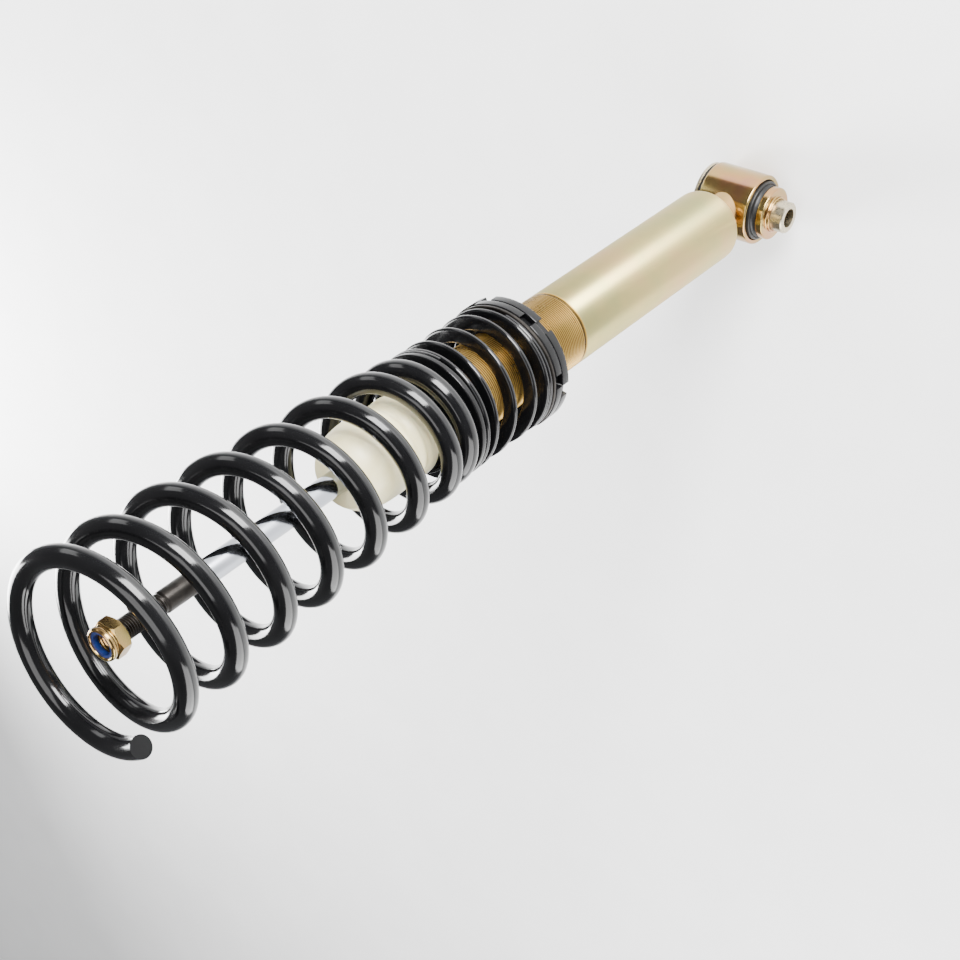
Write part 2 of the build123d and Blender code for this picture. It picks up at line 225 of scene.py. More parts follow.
def uneven_shine(tree, shader, field, low, high):
    """Lets a field move the roughness between two values."""
    shine = add(tree, "ShaderNodeMapRange", {"Value": field, "To Min": low, "To Max": high})
    drive(tree, shader, "Roughness", shine.outputs["Result"])


def relief(tree, shader, field, strength, depth_mm):
    """Lets a field press shallow relief into the surface."""
    inputs = {"Height": field, "Strength": strength, "Distance": depth_mm * MM}
    bump = add(tree, "ShaderNodeBump", inputs)
    drive(tree, shader, "Normal", bump.outputs["Normal"])


def reach_from_axis(tree, place):
    """How far a place is from the strut's axis."""
    axes = add(tree, "ShaderNodeSeparateXYZ", {"Vector": place})
    flat = add(tree, "ShaderNodeCombineXYZ", {"X": axes.outputs["X"], "Y": axes.outputs["Y"]})
    length = add(tree, "ShaderNodeVectorMath", {0: flat.outputs["Vector"]}, operation="LENGTH")
    return length.outputs["Value"]


# ---- Materials ----


def turned_yellow_zinc():
    """Yellow zinc passivate on a turned tube: pale champagne drifting from green to pink.

    The fine turning marks run round the tube, so lights stretch into long bands along it.
    """
    material, tree, shader, place = new_material("turned pale yellow zinc")
    clouds = noise(tree, place, 45, 3.0)
    tint = ramp(tree, clouds, [(0.3, "#9D9966"), (0.5, "#AE9E68"), (0.7, "#B6976B")])
    drive(tree, shader, "Base Color", tint)
    shader.inputs["Metallic"].default_value = 1.0
    shader.inputs["Roughness"].default_value = 0.4
    shader.inputs["Anisotropic"].default_value = 0.85
    shader.inputs["Anisotropic Rotation"].default_value = AROUND
    around = add(tree, "ShaderNodeTangent", direction_type="RADIAL", axis="Z")
    tree.links.new(around.outputs["Tangent"], shader.inputs["Tangent"])
    lay = add(tree, "ShaderNodeMapping", {"Vector": place, "Scale": (0.02, 0.02, 1.0)})
    marks = noise(tree, lay.outputs["Vector"], 0.8, 3.0)
    relief(tree, shader, marks, 0.05, 0.05)
    return material


def plated_yellow_zinc():
    """Yellow zinc passivate on forged steel: a warm sheen, clouded with green, straw and rose."""
    material, tree, shader, place = new_material("warm yellow zinc plate")
    clouds = noise(tree, place, 26, 2.0)
    stops = [(0.3, "#8E8450"), (0.5, "#A08655"), (0.62, "#A88055"), (0.75, "#A0745C")]
    drive(tree, shader, "Base Color", ramp(tree, clouds, stops))
    shader.inputs["Metallic"].default_value = 1.0
    grain = noise(tree, place, 2.5, 5.0)
    uneven_shine(tree, shader, grain, 0.15, 0.24)
    relief(tree, shader, grain, 0.04, 0.05)
    return material


def threaded_zinc():
    """Gold zinc passivate on a cut thread, with painted shade: the colour darkens from the crests down
    into the roots.
    """
    material, tree, shader, place = new_material("gold zinc thread")
    # Painted shade: the colour runs from near black in the thread roots to gold on the crests, standing
    # in for the shade in the grooves.
    crest = add(
        tree,
        "ShaderNodeMapRange",
        {
            "Value": reach_from_axis(tree, place),
            "From Min": (TUBE_R - THREAD_DEPTH) * MM,
            "From Max": (TUBE_R - 0.1) * MM,
        },
    )
    colour = ramp(tree, crest.outputs["Result"], [(0.05, "#281E0B"), (0.5, "#6C5428"), (1.0, "#B5924F")])
    drive(tree, shader, "Base Color", colour)
    shader.inputs["Metallic"].default_value = 1.0
    clouds = noise(tree, place, 9, 3.0)
    uneven_shine(tree, shader, clouds, 0.25, 0.31)
    return material


def gloss_powder_coat():
    """Black gloss powder coat: deep black with sharp highlights that waver with its orange peel."""
    material, tree, shader, place = new_material("gloss black powder coat")
    tone = noise(tree, place, 20, 2.0)
    colour = ramp(tree, tone, [(0.3, "#070708"), (0.7, "#0C0C0D")])
    drive(tree, shader, "Base Color", colour)
    shader.inputs["Roughness"].default_value = 0.13
    shader.inputs["Specular IOR Level"].default_value = 0.32
    peel = noise(tree, place, 1.8, 1.0)
    relief(tree, shader, peel, 0.1, 0.06)
    return material


def satin_black_anodised():
    """Black anodised aluminium: dark with a soft metal sheen, and fine turning marks round its faces."""
    material, tree, shader, place = new_material("satin black anodised aluminium")
    shader.inputs["Metallic"].default_value = 0.2
    shader.inputs["Specular IOR Level"].default_value = 0.25
    rings = {"W": reach_from_axis(tree, place), "Scale": per_metre(0.5), "Detail": 2.0}
    marks = add(tree, "ShaderNodeTexNoise", rings, noise_dimensions="1D").outputs["Fac"]
    patches = noise(tree, place, 14, 3.0)
    colour = ramp(tree, patches, [(0.3, "#070708"), (0.7, "#0C0C0D")])
    drive(tree, shader, "Base Color", colour)
    uneven_shine(tree, shader, patches, 0.18, 0.28)
    relief(tree, shader, marks, 0.1, 0.03)
    return material


def hard_chrome():
    """Ground hard chrome: a mirror with the faintest grinding lines round the rod."""
    material, tree, shader, place = new_material("ground hard chrome")
    shader.inputs["Base Color"].default_value = linear("#9B9EA4")
    shader.inputs["Metallic"].default_value = 1.0
    lay = add(tree, "ShaderNodeMapping", {"Vector": place, "Scale": (0.05, 0.05, 1.0)})
    marks = noise(tree, lay.outputs["Vector"], 0.25)
    uneven_shine(tree, shader, marks, 0.05, 0.11)
    return material


def black_oxide():
    """Black oxide on steel: a dark, slightly brown metal with a satin shine."""
    material, tree, shader, place = new_material("black oxide steel")
    stain = noise(tree, place, 6, 4.0)
    colour = ramp(tree, stain, [(0.3, "#1D1B19"), (0.7, "#2E2B28")])
    drive(tree, shader, "Base Color", colour)
    shader.inputs["Metallic"].default_value = 0.85
    uneven_shine(tree, shader, stain, 0.28, 0.46)
    return material


def polyurethane_foam():
    """Moulded polyurethane foam: a cream skin, softly lit from within, with fine closed pores."""
    material, tree, shader, place = new_material("cream polyurethane foam")
    tone = noise(tree, place, 16, 4.0)
    colour = ramp(tree, tone, [(0.3, "#D2C897"), (0.6, "#E0D7AE")])
    drive(tree, shader, "Base Color", colour)
    shader.inputs["Roughness"].default_value = 0.42
    shader.inputs["Subsurface Weight"].default_value = 0.25
    shader.inputs["Subsurface Radius"].default_value = (3 * MM, 2.2 * MM, 1.4 * MM)
    shader.inputs["Subsurface Scale"].default_value = 1.0
    pores = add(tree, "ShaderNodeTexVoronoi", {"Vector": place, "Scale": per_metre(0.9)})
    skin = noise(tree, place, 4, 5.0)
    height = maths(tree, "ADD", pores.outputs["Distance"], skin)
    relief(tree, shader, height, 0.18, 0.12)
    return material


def moulded_rubber():
    """Moulded black rubber: matt, with a fine grain."""
    material, tree, shader, place = new_material("moulded black rubber")
    grain = noise(tree, place, 0.7, 4.0)
    colour = ramp(tree, grain, [(0.3, "#080808"), (0.7, "#101010")])
    drive(tree, shader, "Base Color", colour)
    shader.inputs["Roughness"].default_value = 0.42
    shader.inputs["Specular IOR Level"].default_value = 0.3
    relief(tree, shader, grain, 0.25, 0.08)
    return material


def plain_metal(name, dark, light, metallic, low, high, grain_mm):
    """Bare machined or sintered metal: a mottled tone and an uneven shine."""
    material, tree, shader, place = new_material(name)
    grain = noise(tree, place, grain_mm, 4.0)
    colour = ramp(tree, grain, [(0.3, dark), (0.7, light)])
    drive(tree, shader, "Base Color", colour)
    shader.inputs["Metallic"].default_value = metallic
    uneven_shine(tree, shader, grain, low, high)
    return material


def dyed_nylon():
    """Dyed nylon: a clear blue with a soft waxy shine."""
    material, tree, shader, place = new_material("blue nylon")
    tone = noise(tree, place, 2)
    colour = ramp(tree, tone, [(0.3, "#0D1A44"), (0.7, "#182D6A")])
    drive(tree, shader, "Base Color", colour)
    shader.inputs["Roughness"].default_value = 0.35
    shader.inputs["Subsurface Weight"].default_value = 0.1
    shader.inputs["Subsurface Radius"].default_value = (0.3 * MM, 0.5 * MM, 0.9 * MM)
    shader.inputs["Subsurface Scale"].default_value = 1.0
    return material


def studio_paper():
    """Matt studio paper: pale and even."""
    material, tree, shader, place = new_material("pale studio paper")
    fibre = noise(tree, place, 60)
    colour = ramp(tree, fibre, [(0.3, "#EEEEEE"), (0.7, "#F2F2F2")])
    drive(tree, shader, "Base Color", colour)
    shader.inputs["Roughness"].default_value = 0.9
    shader.inputs["Specular IOR Level"].default_value = 0.1
    return material


TUBE_ZINC = turned_yellow_zinc()
EYE_ZINC = plated_yellow_zinc()
THREAD_ZINC = threaded_zinc()
POWDER_COAT = gloss_powder_coat()
ANODISED = satin_black_anodised()
CHROME = hard_chrome()
OXIDE = black_oxide()
FOAM = polyurethane_foam()
RUBBER = moulded_rubber()
NYLON = dyed_nylon()
SLEEVE_STEEL = plain_metal("plated sleeve steel", "#A39A86", "#BDB196", 1.0, 0.22, 0.36, 1.5)
OILED_STEEL = plain_metal("oiled bare steel", "#86888A", "#A2A4A6", 1.0, 0.18, 0.3, 1.2)
SINTERED = plain_metal("sintered steel", "#4A4A4B", "#68686A", 0.9, 0.45, 0.6, 0.5)
BEARING_BAND = plain_metal("bronze-filled bearing band", "#4A3B26", "#5E4B30", 0.3, 0.5, 0.65, 0.6)


# ---- Mesh helpers ----


def rounded(outline, edge, steps=3):
    """Rounds each corner of a closed (radius, height) outline that is off the axis."""
    result = []
    count = len(outline)
    for i, corner in enumerate(outline):
        here = Vector(corner)
        back = Vector(outline[i - 1]) - here
        ahead = Vector(outline[(i + 1) % count]) - here
        reach = min(edge, 0.45 * back.length, 0.45 * ahead.length)
        if here.x < 0.01 or reach < 0.02 or back.angle(ahead) > radians(165):
            result.append(here)
            continue
        start = here + back.normalized() * reach
        end = here + ahead.normalized() * reach
        for k in range(steps + 1):
            t = k / steps
            result.append(start * (1 - t) ** 2 + here * 2 * t * (1 - t) + end * t**2)
    return result


def smooth_through(points, steps=8):
    """A smooth line through (radius, height) points."""
    result = []
    last = len(points) - 1
    for i in range(last):
        p0, p1, p2, p3 = (Vector(points[min(max(i + k, 0), last)]) for k in (-1, 0, 1, 2))
        for k in range(steps):
            t = k / steps
            bend = 2 * p0 - 5 * p1 + 4 * p2 - p3
            twist = 3 * p1 - p0 - 3 * p2 + p3
            result.append(0.5 * (2 * p1 + (p2 - p0) * t + bend * t**2 + twist * t**3))
    result.append(Vector(points[last]))
    return result


def turned_mesh(name, outline, material, lie=False, segments=160, zones=()):
    """A turned solid: the closed outline, in millimetres, spun about Z, or about X where it lies.

    zones holds (lowest height, material) pairs, upwards.
    """
    bm = bmesh.new()
    rings = []
    for point in outline:
        if point[0] < 0.001:
            rings.append([bm.verts.new((0, 0, point[1] * MM))] * segments)
            continue
        radius, height = point[0] * MM, point[1] * MM
        spokes = [2 * pi * k / segments for k in range(segments)]
        rings.append([bm.verts.new((radius * cos(a), radius * sin(a), height)) for a in spokes])
    for i, lower in enumerate(rings):
        upper = rings[(i + 1) % len(rings)]
        for k in range(segments):
            ahead = (k + 1) % segments
            corners = dict.fromkeys([lower[k], lower[ahead], upper[ahead], upper[k]])
            if len(corners) > 2:
                face = bm.faces.new(corners)
                middle = sum(v.co.z for v in corners) / len(corners) / MM
                face.material_index = sum(middle > foot for foot, _ in zones)
    bmesh.ops.recalc_face_normals(bm, faces=bm.faces)
    if lie:
        bmesh.ops.rotate(bm, verts=bm.verts, matrix=Matrix.Rotation(pi / 2, 3, "Y"))
    mesh = bpy.data.meshes.new(name)
    bm.to_mesh(mesh)
    bm.free()
    mesh.materials.append(material)
    for _, zone_material in zones:
        mesh.materials.append(zone_material)
    return mesh


def smooth(mesh, angle=35):
    mesh.shade_smooth()
    mesh.set_sharp_from_angle(angle=radians(angle))
    return mesh


def placed(name, mesh):
    """Puts a mesh in the scene as an object at the origin."""
    piece = bpy.data.objects.new(name, mesh)
    bpy.context.scene.collection.objects.link(piece)
    return piece


def joined(name, *meshes):
    """One mesh from several, with their materials kept."""
    bm = bmesh.new()
    materials = []
    for mesh in meshes:
        start = len(bm.faces)
        bm.from_mesh(mesh)
        bm.faces.ensure_lookup_table()
        for face in bm.faces[start:]:
            face.material_index += len(materials)
        materials.extend(mesh.materials)
    result = bpy.data.meshes.new(name)
    bm.to_mesh(result)
    bm.free()
    for material in materials:
        result.materials.append(material)
    return result


def piece(name, mesh, body, *replaced, slot=None):
    """Places a finished mesh, parents it to the body it rides on, and hides the CAD nodes it replaces.
    """
    thing = placed(name, smooth(mesh))
    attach(thing, body)
    if replaced:
        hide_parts(*replaced)
    return thing


# ---- Geometry Nodes ----


def new_tree(name, inputs):
    """A Geometry Nodes tree with geometry in and out, and named inputs with their socket types."""
    tree = bpy.data.node_groups.new(name, "GeometryNodeTree")
    tree.interface.new_socket("Geometry", in_out="INPUT", socket_type="NodeSocketGeometry")
    for label, kind in inputs.items():
        tree.interface.new_socket(label, in_out="INPUT", socket_type=kind)
    tree.interface.new_socket("Geometry", in_out="OUTPUT", socket_type="NodeSocketGeometry")
    return tree, add(tree, "NodeGroupInput").outputs


def close_tree(tree, geometry, material):
    """Makes the instances real, gives them their material and ends the tree."""
    real = add(tree, "GeometryNodeRealizeInstances", {"Geometry": geometry})
    inputs = {"Geometry": real.outputs["Geometry"], "Material": material}
    finish = add(tree, "GeometryNodeSetMaterial", inputs)
    add(tree, "NodeGroupOutput", {"Geometry": finish.outputs["Geometry"]})


def grown(name, tree, values, mesh=None):
    """Runs a tree on a mesh, or on nothing, with values for its named inputs, and gives a plain mesh."""
    seed = placed(name, mesh or bpy.data.meshes.new(name))
    modifier = seed.modifiers.new(name, "NODES")
    modifier.node_group = tree
    for item in tree.interface.items_tree:
        if item.in_out == "INPUT" and item.name in values:
            modifier[item.identifier] = values[item.name]
    scene_now = bpy.context.evaluated_depsgraph_get()
    result = bpy.data.meshes.new_from_object(seed.evaluated_get(scene_now))
    seed.modifiers.remove(modifier)
    bpy.data.objects.remove(seed)
    return result


LENGTH = "NodeSocketFloat"
COUNT = "NodeSocketInt"
FINISH = "NodeSocketMaterial"


def coil_tree(name, flat):
    """A coil whose pitch eases in from the seat and out to the tail, and which widens as it climbs."""
    labels = ["Turns", "Foot", "Pitch", "Seat Pitch", "Tail Pitch", "Seat Turns", "Tail Turns"]
    labels += ["Seat Radius", "Widening", "Widening Loss", "Start Angle", "Hand"]
    labels += ["Wire Width", "Wire Height"]
    kinds = {label: LENGTH for label in labels}
    tree, given = new_tree(name, {**kinds, "Steps": COUNT, "Finish": FINISH})
    line = add(tree, "GeometryNodeCurvePrimitiveLine")
    points = maths(tree, "MULTIPLY", given["Turns"], given["Steps"])
    count = maths(tree, "ADD", points, 1.0)
    fine = add(tree, "GeometryNodeResampleCurve", {"Curve": line.outputs["Curve"], "Count": count})
    along = add(tree, "GeometryNodeSplineParameter").outputs["Factor"]
    turn = maths(tree, "MULTIPLY", along, given["Turns"])

    opening = add(
        tree,
        "ShaderNodeMapRange",
        {
            "Value": turn,
            "From Max": given["Seat Turns"],
            "To Min": given["Seat Pitch"],
            "To Max": given["Pitch"],
        },
        interpolation_type="SMOOTHSTEP",
    )
    tail_start = maths(tree, "SUBTRACT", given["Turns"], given["Tail Turns"])
    tail_drop = maths(tree, "SUBTRACT", given["Pitch"], given["Tail Pitch"])
    closing = add(
        tree,
        "ShaderNodeMapRange",
        {
            "Value": turn,
            "From Min": tail_start,
            "From Max": given["Turns"],
            "To Min": 0.0,
            "To Max": tail_drop,
        },
        interpolation_type="SMOOTHSTEP",
    )
    pitch = maths(tree, "SUBTRACT", opening.outputs[0], closing.outputs[0])
    rise = maths(tree, "DIVIDE", pitch, given["Steps"])
    climbed = add(tree, "GeometryNodeAccumulateField", {"Value": rise})
    height = maths(tree, "ADD", climbed.outputs["Trailing"], given["Foot"])

    squared = maths(tree, "POWER", turn, 2.0)
    loss = maths(tree, "MULTIPLY", squared, given["Widening Loss"])
    wider = maths(tree, "MULTIPLY_ADD", turn, given["Widening"], given["Seat Radius"])
    radius = maths(tree, "SUBTRACT", wider, loss)

    swept = maths(tree, "MULTIPLY", turn, given["Hand"])
    angle = maths(tree, "MULTIPLY_ADD", swept, 2 * pi, given["Start Angle"])
    spot = at_angle(tree, radius, height, angle)
    coil = add(tree, "GeometryNodeSetPosition", {"Geometry": fine.outputs["Curve"], "Position": spot})
    upright = add(tree, "GeometryNodeSetCurveNormal", {"Curve": coil.outputs["Geometry"]}, mode="Z_UP")
    if flat:
        box = add(
            tree,
            "GeometryNodeCurvePrimitiveQuadrilateral",
            {"Width": given["Wire Width"], "Height": given["Wire Height"]},
        )
        section = add(
            tree,
            "GeometryNodeFilletCurve",
            {"Curve": box.outputs["Curve"], "Count": 6, "Radius": HELPER_EDGE * MM},
            mode="POLY",
        )
    else:
        half = maths(tree, "MULTIPLY", given["Wire Width"], 0.5)
        section = add(tree, "GeometryNodeCurvePrimitiveCircle", {"Resolution": 28, "Radius": half})
    wire = add(
        tree,
        "GeometryNodeCurveToMesh",
        {
            "Curve": upright.outputs["Curve"],
            "Profile Curve": section.outputs["Curve"],
            "Fill Caps": True,
        },
    )
    close_tree(tree, wire.outputs["Mesh"], given["Finish"])
    return tree


def thread_tree():
    """A screw thread: a ridge wound round its root, joined turn to turn and fading at both ends."""
    labels = ["Root Radius", "Depth", "Pitch", "Foot"]
    kinds = {label: LENGTH for label in labels}
    tree, given = new_tree("screw thread", {**kinds, "Turns": COUNT, "Steps": COUNT, "Finish": FINISH})
    points = maths(tree, "MULTIPLY", given["Turns"], given["Steps"])
    count = maths(tree, "ADD", points, 1.0)
    strip = add(
        tree,
        "GeometryNodeMeshGrid",
        {"Size X": 1.0, "Size Y": 1.0, "Vertices X": count, "Vertices Y": 6},
    )
    place = add(tree, "GeometryNodeInputPosition")
    axes = add(tree, "ShaderNodeSeparateXYZ", {"Vector": place.outputs[0]})
    along = maths(tree, "ADD", axes.outputs["X"], 0.5)
    turn = maths(tree, "MULTIPLY", along, given["Turns"])
    across = maths(tree, "ABSOLUTE", axes.outputs["Y"])
    flank = add(
        tree,
        "ShaderNodeMapRange",
        {"Value": across, "From Min": 0.44, "From Max": 0.1, "To Min": 0.0, "To Max": 1.0},
    )
    left = maths(tree, "SUBTRACT", given["Turns"], turn)
    nearest = maths(tree, "MINIMUM", turn, left)
    fade = add(tree, "ShaderNodeMapRange", {"Value": nearest, "From Max": 0.6})
    ridge = maths(tree, "MULTIPLY", flank.outputs[0], fade.outputs[0])
    radius = maths(tree, "MULTIPLY_ADD", ridge, given["Depth"], given["Root Radius"])
    pitches = maths(tree, "ADD", axes.outputs["Y"], turn)
    height = maths(tree, "MULTIPLY_ADD", pitches, given["Pitch"], given["Foot"])
    angle = maths(tree, "MULTIPLY", turn, 2 * pi)
    spot = at_angle(tree, radius, height, angle)
    wound = add(tree, "GeometryNodeSetPosition", {"Geometry": strip.outputs["Mesh"], "Position": spot})
    inputs = {"Geometry": wound.outputs[0], "Distance": 0.005 * MM}
    whole = add(tree, "GeometryNodeMergeByDistance", inputs)
    close_tree(tree, whole.outputs["Geometry"], given["Finish"])
    return tree


def notch_tree():
    """Spanner notches cut round the rim of a ring."""
    labels = ["Rim Radius", "Width", "Depth", "Height", "Middle", "First Angle"]
    kinds = {label: LENGTH for label in labels}
    tree, given = new_tree("spanner notches", {**kinds, "Notches": COUNT, "Finish": FINISH})
    step = maths(tree, "DIVIDE", 2 * pi, given["Notches"])
    number = add(tree, "GeometryNodeInputIndex")
    angle = maths(tree, "MULTIPLY_ADD", number.outputs[0], step, given["First Angle"])
    spot = at_angle(tree, given["Rim Radius"], given["Middle"], angle)
    spots = add(tree, "GeometryNodePoints", {"Count": given["Notches"], "Position": spot})
    deep = maths(tree, "MULTIPLY", given["Depth"], 2.0)
    size = add(tree, "ShaderNodeCombineXYZ", {"X": deep, "Y": given["Width"], "Z": given["Height"]})
    cutter = add(tree, "GeometryNodeMeshCube", {"Size": size.outputs[0]})
    facing = add(tree, "ShaderNodeCombineXYZ", {"Z": angle})
    cutters = add(
        tree,
        "GeometryNodeInstanceOnPoints",
        {"Points": spots.outputs[0], "Instance": cutter.outputs["Mesh"], "Rotation": facing.outputs[0]},
    )
    real = add(tree, "GeometryNodeRealizeInstances", {"Geometry": cutters.outputs[0]})
    cut = add(
        tree,
        "GeometryNodeMeshBoolean",
        {"Mesh 1": given["Geometry"], "Mesh 2": real.outputs[0]},
        operation="DIFFERENCE",
    )
    close_tree(tree, cut.outputs["Mesh"], given["Finish"])
    return tree


ROUND_COIL = coil_tree("round wire coil", flat=False)
FLAT_COIL = coil_tree("flat wire coil", flat=True)
THREAD = thread_tree()
NOTCHES = notch_tree()


def box_mm(node):
    """The lowest and highest corners of a CAD node, in millimetres."""
    low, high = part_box(node)
    return [v / MM for v in low], [v / MM for v in high]


# ---- Damper body ----


def make_threaded_body():
    low, high = box_mm("body_tube")
    foot, top = low[2], high[2]
    floor = foot + TUBE_FLOOR
    root = TUBE_R - THREAD_DEPTH
    bend = [
        (TUBE_R - TUBE_SHOULDER * (1 - sin(radians(a))), foot + TUBE_SHOULDER * (1 - cos(radians(a))))
        for a in range(0, 91, 9)
    ]
    thread = [
        (TUBE_R, THREAD_FOOT - THREAD_RUNOUT),
        (root - ROOT_GAP, THREAD_FOOT),
        (root - ROOT_GAP, top - RIM_CHAMFER),
        (root - RIM_CHAMFER, top),
        (TUBE_BORE_R, top),
        (TUBE_BORE_R, floor),
        (0, floor),
        (0, foot),
    ]
    zones = [(THREAD_FOOT - 1.0, THREAD_ZINC)]
    shell = turned_mesh("tube shell", bend + thread, TUBE_ZINC, segments=192, zones=zones)
    turns = int((top - THREAD_FOOT - 1.0) / THREAD_PITCH) - 1
    ridges = grown(
        "body thread",
        THREAD,
        {
            "Root Radius": root * MM,
            "Depth": THREAD_DEPTH * MM,
            "Pitch": THREAD_PITCH * MM,
            "Foot": (THREAD_FOOT + THREAD_PITCH / 3) * MM,
            "Turns": turns,
            "Steps": 96,
            "Finish": THREAD_ZINC,
        },
    )
    whole = joined("threaded body", shell, ridges)
    return piece("threaded_body", whole, "strut", "body_tube", slot="tube_zinc")


def make_rod():
    low, high = box_mm("piston_rod")
    foot, top = low[2], high[2]
    root = STUD_R - STUD_DEPTH
    outline = [
        (0, foot),
        (TENON_R, foot),
        (TENON_R, ROD_FOOT),
        (ROD_R, ROD_FOOT),
        (ROD_R, ROD_SHOULDER - 0.8),
        (SHANK_R, ROD_SHOULDER),
        (SHANK_R, SHANK_TOP),
        (root - ROOT_GAP, SHANK_TOP + 1.0),
        (root - ROOT_GAP, top - STUD_CHAMFER),
        (root - STUD_CHAMFER, top),
        (0, top),
    ]
    zones = [(ROD_SHOULDER - 1.0, OXIDE)]
    core = turned_mesh("rod core", rounded(outline, 0.3), CHROME, segments=96, zones=zones)
    ridges = grown(
        "stud thread",
        THREAD,
        {
            "Root Radius": root * MM,
            "Depth": STUD_DEPTH * MM,
            "Pitch": STUD_PITCH * MM,
            "Foot": (SHANK_TOP + 1.6) * MM,
            "Turns": int((top - SHANK_TOP - 2.4) / STUD_PITCH),
            "Steps": 64,
            "Finish": OXIDE,
        },
    )
    whole = joined("rod and stud", core, ridges)
    return piece("rod_and_stud", whole, "rod", "piston_rod", slot="rod_chrome")


# ---- Locking nut ----


def trim_to_hexagon(mesh, flats, foot, top):
    """Pulls a turned blank in to a hexagon between two heights, leaving its cones to meet the flats."""
    for vertex in mesh.vertices:
        x, y, z = vertex.co / MM
        across = flats / 2 / cos(atan2(y, x) % (pi / 3) - pi / 6)
        reach = hypot(x, y)
        if foot - 0.01 < z < top + 0.01 and reach > across:
            vertex.co = Vector((x * across / reach, y * across / reach, z)) * MM


def make_nut():
    low, high = box_mm("top_nut")
    foot, top = low[2], high[2]
    shoulder = foot + NUT_HEXAGON
    corner = NUT_FLATS / 2 / cos(pi / 6)
    face = NUT_FLATS / 2 - 0.2
    cones = [k / 8 for k in range(9)]
    lower = [(face + (corner - face) * t, foot + NUT_CONE * t) for t in cones]
    upper = [(face + (corner - face) * (1 - t), shoulder - NUT_CONE * (1 - t)) for t in cones]
    collar = [
        (8.9, shoulder + 0.1),
        (8.5, shoulder + 0.5),
        (8.5, shoulder + 0.9),
        (9.1, shoulder + 1.5),
        (9.3, shoulder + 2.2),
        (9.3, top - 1.3),
        (9.1, top - 0.6),
        (8.7, top - 0.2),
        (8.2, top),
        (7.7, top - 0.15),
        (7.4, top - 0.5),
        (7.35, top - 0.95),
        (POCKET_R, top - 1.0),
        (POCKET_R, shoulder + 0.6),
        (STUD_R + 0.4, shoulder + 0.6),
        (STUD_R, shoulder + 0.2),
        (STUD_R, foot + 0.5),
        (STUD_R + 0.5, foot),
    ]
    blank = turned_mesh("nut blank", lower + upper + collar, EYE_ZINC, segments=192)
    trim_to_hexagon(blank, NUT_FLATS, foot, shoulder)
    thread = grown(
        "nut thread",
        THREAD,
        {
            "Root Radius": STUD_R * MM,
            "Depth": -STUD_DEPTH * MM,
            "Pitch": STUD_PITCH * MM,
            "Foot": (shoulder + 0.4 - 2.5 * STUD_PITCH) * MM,
            "Turns": 2,
            "Steps": 64,
            "Finish": EYE_ZINC,
        },
    )
    whole = joined("locking nut", blank, thread)
    return piece("locking_nut", whole, "rod", "top_nut", slot="nut_zinc")


# ---- Eye and its bush ----


def make_eye():
    """The eye ring, the bush's rubber and the collar, each turned about X."""
    back, front = (box_mm("eye_ring")[k][0] for k in (0, 1))
    square = [(EYE_BORE_R, back), (EYE_R, back), (EYE_R, front), (EYE_BORE_R, front)]
    ring = turned_mesh("eye", rounded(square, EYE_EDGE, steps=6), EYE_ZINC, lie=True)
    piece("rounded_eye", ring, "strut", "eye_ring", slot="eye_zinc")

    back, front = (box_mm("bush_rubber")[k][0] for k in (0, 1))
    lip = back + 1.9
    groove = [(BUSH_R, 19.0), (20.2, 20.2), (19.2, 20.8), (18.0, 20.2), (17.0, 21.2), (16.5, front)]
    grooved = smooth_through(groove)
    rest = [
        (BUSH_BORE_R, front),
        (BUSH_BORE_R, back),
        (BUSH_LIP_R - 0.4, back),
        (BUSH_LIP_R, back + 0.5),
        (BUSH_LIP_R, lip),
        (BUSH_R, lip),
    ]
    rubber = turned_mesh("rubber", grooved + rest, RUBBER, lie=True)
    piece("moulded_bush", rubber, "strut", "bush_rubber", slot="bush_rubber")

    back, front = (box_mm("spacer_collar")[k][0] for k in (0, 1))
    step = back + COLLAR_DISC
    outline = [
        (SLEEVE_R, back),
        (COLLAR_R, back),
        (COLLAR_R, step),
        (COLLAR_HUB_R, step),
        (COLLAR_HUB_R, front),
        (SLEEVE_R, front),
    ]
    collar = turned_mesh("collar", rounded(outline, COLLAR_EDGE, steps=6), EYE_ZINC, lie=True)
    piece("stepped_collar", collar, "bush_core", "spacer_collar", slot="eye_zinc")


# ---- Springs ----


def make_springs():
    face = box_mm("main_spring")[0][2]
    coil = grown(
        "main coil",
        ROUND_COIL,
        {
            "Turns": MAIN_TURNS,
            "Foot": (face + MAIN_WIRE_R) * MM,
            "Pitch": 38.0 * MM,
            "Seat Pitch": 12.0 * MM,
            "Tail Pitch": 14.0 * MM,
            "Seat Turns": 2.2,
            "Tail Turns": 1.4,
            "Seat Radius": 34.5 * MM,
            "Widening": 2.5 * MM,
            "Widening Loss": 0.05 * MM,
            "Start Angle": radians(310.0),
            "Hand": 1.0,
            "Wire Width": 2 * MAIN_WIRE_R * MM,
            "Wire Height": 2 * MAIN_WIRE_R * MM,
            "Steps": 72,
            "Finish": POWDER_COAT,
        },
    )
    main = piece("main_coil", coil, "coupler", "main_spring", slot="spring_powder")
    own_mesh(main)

    foot = box_mm("helper_spring")[0][2]
    flat = grown(
        "helper coil",
        FLAT_COIL,
        {
            "Turns": HELPER_TURNS,
            "Foot": (foot + HELPER_WIRE / 2) * MM,
            "Pitch": HELPER_PITCH * MM,
            "Seat Pitch": 0.0,
            "Tail Pitch": 0.0,
            "Seat Turns": HELPER_CLOSING_TURNS,
            "Tail Turns": HELPER_CLOSING_TURNS,
            "Seat Radius": 35.3 * MM,
            "Widening": 0.0,
            "Widening Loss": 0.0,
            "Start Angle": radians(81.0),
            "Hand": -1.0,
            "Wire Width": HELPER_WIDTH * MM,
            "Wire Height": HELPER_WIRE * MM,
            "Steps": 72,
            "Finish": POWDER_COAT,
        },
    )
    helper = piece("helper_coil", flat, "spring_seat", "helper_spring", slot="spring_powder")
    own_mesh(helper)


# ---- Spring seat ----


